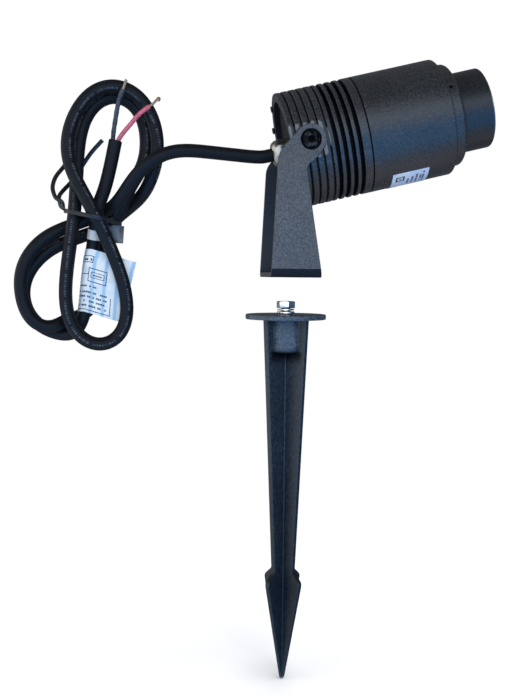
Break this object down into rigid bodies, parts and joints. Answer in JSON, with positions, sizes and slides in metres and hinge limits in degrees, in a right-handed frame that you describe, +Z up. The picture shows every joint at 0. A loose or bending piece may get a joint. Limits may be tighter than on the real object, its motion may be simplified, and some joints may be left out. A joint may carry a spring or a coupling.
{
  "type": "garden gobo projector spotlight on a ground stake",
  "caption": "Finned cylindrical image projector spotlight with sliding focus tube on a tilting U bracket, bolt-on cross-ribbed ground stake and coiled stripped-end cable.",
  "frame": {"origin": "centre of the stake's blunt point", "axes": "+Z up along the stake, lens side towards +X, cable side towards -X, near bracket arm at -Y"},
  "size_m": [0.2882, 0.083, 0.3854],
  "materials": {
    "charcoal_coat": "fine-texture charcoal powder coat on turned aluminium",
    "blue_grey_coat": "fine-texture blue-grey powder coat on bent sheet steel",
    "zinc_steel": "bright zinc plated",
    "nickel_brass": "nickel plated",
    "black_screw": "black oxide",
    "bare_aluminium": "machined",
    "black_rubber": "satin",
    "tie_plastic": "flat plastic over wire",
    "stake_nylon": "moulded, slightly textured",
    "washer_nylon": "moulded",
    "lens_glass": "polished",
    "circuit_board": "solder mask",
    "led_phosphor": "phosphor coat",
    "gobo_steel": "etched sheet",
    "label_film": "printed film",
    "smoky_film": "translucent film",
    "copper": "bare stranded copper",
    "red_core": "satin",
    "black_core": "satin",
    "capacitor_sleeve": "shrink sleeve",
    "ferrite": "moulded"
  },
  "bodies": {
    "stake": {"stake": "stake_nylon", "threaded_insert": "zinc_steel"},
    "fixing": {"hex_bolt": "zinc_steel", "spring_washer": "zinc_steel", "flat_washer": "zinc_steel"},
    "bracket": {"bracket": "blue_grey_coat"},
    "lens_group": {"lens_tube": "charcoal_coat", "front_lens": "lens_glass", "rear_lens": "lens_glass", "lens_spacer": "bare_aluminium", "front_retaining_ring": "charcoal_coat", "rear_retaining_ring": "bare_aluminium"},
    "cable": {"cable_coil": "black_rubber", "black_core": "black_core", "red_core": "red_core", "black_core_copper": "copper", "red_core_copper": "copper", "twist_tie": "tie_plastic", "cable_label": "label_film", "cable_tab": "smoky_film"},
    "head": {"bezel_ring": "charcoal_coat", "board_stud_1": "zinc_steel", "board_stud_2": "zinc_steel", "body_o_ring": "black_rubber", "cable_stub": "black_rubber", "condenser_holder": "bare_aluminium", "condenser_lens_1": "lens_glass", "condenser_lens_2": "lens_glass", "condenser_spacer": "bare_aluminium", "driver_board": "circuit_board", "driver_capacitor": "capacitor_sleeve", "driver_inductor": "ferrite", "focus_lock_screw": "black_screw", "focus_o_ring": "black_rubber", "front_housing": "charcoal_coat", "gland_body": "nickel_brass", "gland_lock_nut": "nickel_brass", "gland_nut": "nickel_brass", "gland_seal": "black_rubber", "gobo_disc": "gobo_steel", "gobo_holder": "bare_aluminium", "gobo_retaining_ring": "bare_aluminium", "led_board": "bare_aluminium", "led_chip": "led_phosphor", "led_wire_black": "black_core", "led_wire_red": "red_core", "pivot_screw_left": "black_screw", "pivot_screw_right": "black_screw", "pivot_washer_left": "washer_nylon", "pivot_washer_right": "washer_nylon", "rating_sticker": "label_film", "rear_cover": "charcoal_coat", "rear_cover_screw_1": "black_screw", "rear_cover_screw_2": "black_screw", "rear_cover_screw_3": "black_screw", "rear_gasket": "black_rubber", "rear_housing": "charcoal_coat", "rear_rim_screw_1": "black_screw", "rear_rim_screw_2": "black_screw"}
  },
  "joints": [
    {"name": "pan", "type": "hinge", "parent": "stake", "child": "fixing", "pos_m": [0, 0, 0.2304], "axis": [0, 0, 1], "continuous": true},
    {"name": "bracket_lower", "type": "slide", "parent": "fixing", "child": "bracket", "axis": [0, 0, 1], "range_m": [-0.014, 0], "stiffness_N_per_m": 4000, "springref_m": 0.00188},
    {"name": "tilt", "type": "hinge", "parent": "bracket", "child": "head", "pos_m": [0.009, 0, 0.3313], "axis": [0, -1, 0], "range_deg": [-63, 76], "stiffness_Nm_per_rad": 8, "springref_deg": 1.49},
    {"name": "focus", "type": "slide", "parent": "head", "child": "lens_group", "axis": [0.972, 0, 0.2351], "range_m": [-0.014, 0.01], "stiffness_N_per_m": 600, "springref_m": 0.00034},
    {"name": "cable_flex", "type": "hinge", "parent": "head", "child": "cable", "pos_m": [-0.0153, 0, 0.32542], "axis": [0, -1, 0], "range_deg": [-80, 66]}
  ],
  "couplings": [
    {"joint": "cable_flex", "follows": "tilt", "ratio": -1}
  ]
}
